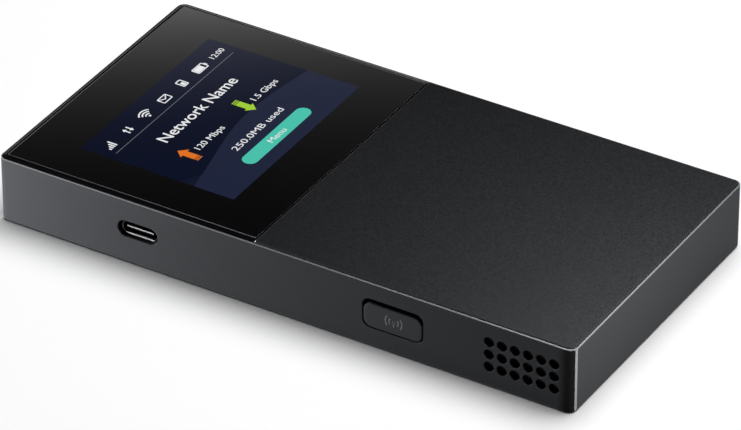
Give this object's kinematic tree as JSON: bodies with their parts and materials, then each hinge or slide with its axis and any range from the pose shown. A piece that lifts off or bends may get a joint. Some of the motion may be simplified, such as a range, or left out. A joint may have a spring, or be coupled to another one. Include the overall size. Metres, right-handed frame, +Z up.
{
  "type": "mobile hotspot",
  "caption": "Flat pocket-size mobile hotspot with a glass touch display over one half, a matte cover over the other, a USB-C port, an antenna flap and side vents.",
  "frame": {"origin": "centre of the underside, on the plane it rests on", "axes": "+X along the length, with the display at the -X end; -Y is the long side with the charging port, antenna flap and vents; +Z up"},
  "size_m": [0.138, 0.0716, 0.0158],
  "materials": {
    "frame_paint": "satin soft-touch paint",
    "cover_matte": "fine textured matte",
    "lens_black": "polished",
    "gasket_foam": "matte",
    "screen_glass": "lit display",
    "light_guide": "satin white",
    "stamped_steel": "satin",
    "polyimide": "satin film",
    "chassis_plastic": "matte",
    "rear_plastic": "fine textured matte",
    "battery_wrap": "satin wrap",
    "label_film": "satin film",
    "gold_contact": "polished",
    "black_moulding": "matte",
    "board_mask": "solder mask",
    "thermal_gel": "matte",
    "graphite": "matte",
    "sink_aluminium": "extruded",
    "flap_rubber": "soft matte",
    "ptfe": "satin",
    "shell_steel": "polished",
    "button_plastic": "satin",
    "card_plastic": "satin",
    "screen_mesh": "fine woven",
    "screw_steel": "black zinc"
  },
  "bodies": {
    "root": {"side_frame": "frame_paint", "top_cover": "cover_matte", "cover_glass": "lens_black", "glass_adhesive": "gasket_foam", "touch_sensor": "screen_glass", "lcd_panel": "screen_glass", "lcd_backlight": "light_guide", "display_frame": "stamped_steel", "display_flex": "polyimide", "chassis": "chassis_plastic", "rear_cover": "rear_plastic", "battery_connector": "black_moulding", "battery_springs": "gold_contact", "main_board": "board_mask", "board_chips": "black_moulding", "board_shields": "stamped_steel", "modem_module": "stamped_steel", "thermal_pads": "thermal_gel", "heat_spreader": "graphite", "heat_sink": "sink_aluminium", "cellular_antennas": "polyimide", "wifi_antennas": "polyimide", "antenna_leads": "black_moulding", "lead_connectors": "gold_contact", "antenna_sockets": "gold_contact", "socket_insulators": "ptfe", "socket_contacts": "gold_contact", "flap_strap": "flap_rubber", "usb_shell": "shell_steel", "usb_tongue": "black_moulding", "usb_contacts": "gold_contact", "power_switch": "stamped_steel", "reset_switch": "stamped_steel", "sim_socket": "stamped_steel", "vent_screens": "screen_mesh", "case_screws": "screw_steel", "board_screws": "screw_steel"},
    "antenna_flap": {"antenna_flap": "flap_rubber"},
    "power_button": {"power_button": "button_plastic"},
    "reset_plunger": {"reset_plunger": "button_plastic"},
    "sim_tray": {"sim_tray": "button_plastic", "sim_card": "card_plastic"},
    "battery": {"battery_pack": "battery_wrap", "battery_label": "label_film", "battery_pads": "gold_contact"},
    "battery_door": {"battery_door": "rear_plastic"}
  },
  "joints": [
    {"name": "flap_hinge", "type": "hinge", "parent": "root", "child": "antenna_flap", "pos_m": [0.027, -0.03574, 0.00458], "axis": [1, 0, 0], "range_deg": [0, 135]},
    {"name": "power_press", "type": "slide", "parent": "root", "child": "power_button", "axis": [0, -1, 0], "range_m": [0, 0.0003], "stiffness_N_per_m": 800},
    {"name": "reset_press", "type": "slide", "parent": "root", "child": "reset_plunger", "axis": [0, -1, 0], "range_m": [0, 0.0003], "stiffness_N_per_m": 300},
    {"name": "sim_slide", "type": "slide", "parent": "root", "child": "sim_tray", "axis": [0, 1, 0], "range_m": [0, 0.017]},
    {"name": "battery_lift", "type": "slide", "parent": "root", "child": "battery", "axis": [0, 0, -1], "range_m": [0, 0.015]},
    {"name": "battery_door_lift", "type": "slide", "parent": "root", "child": "battery_door", "axis": [0, 0, -1], "range_m": [0, 0.03]}
  ],
  "couplings": [
    {"joint": "battery_door_lift", "follows": "battery_lift", "ratio": 2}
  ]
}
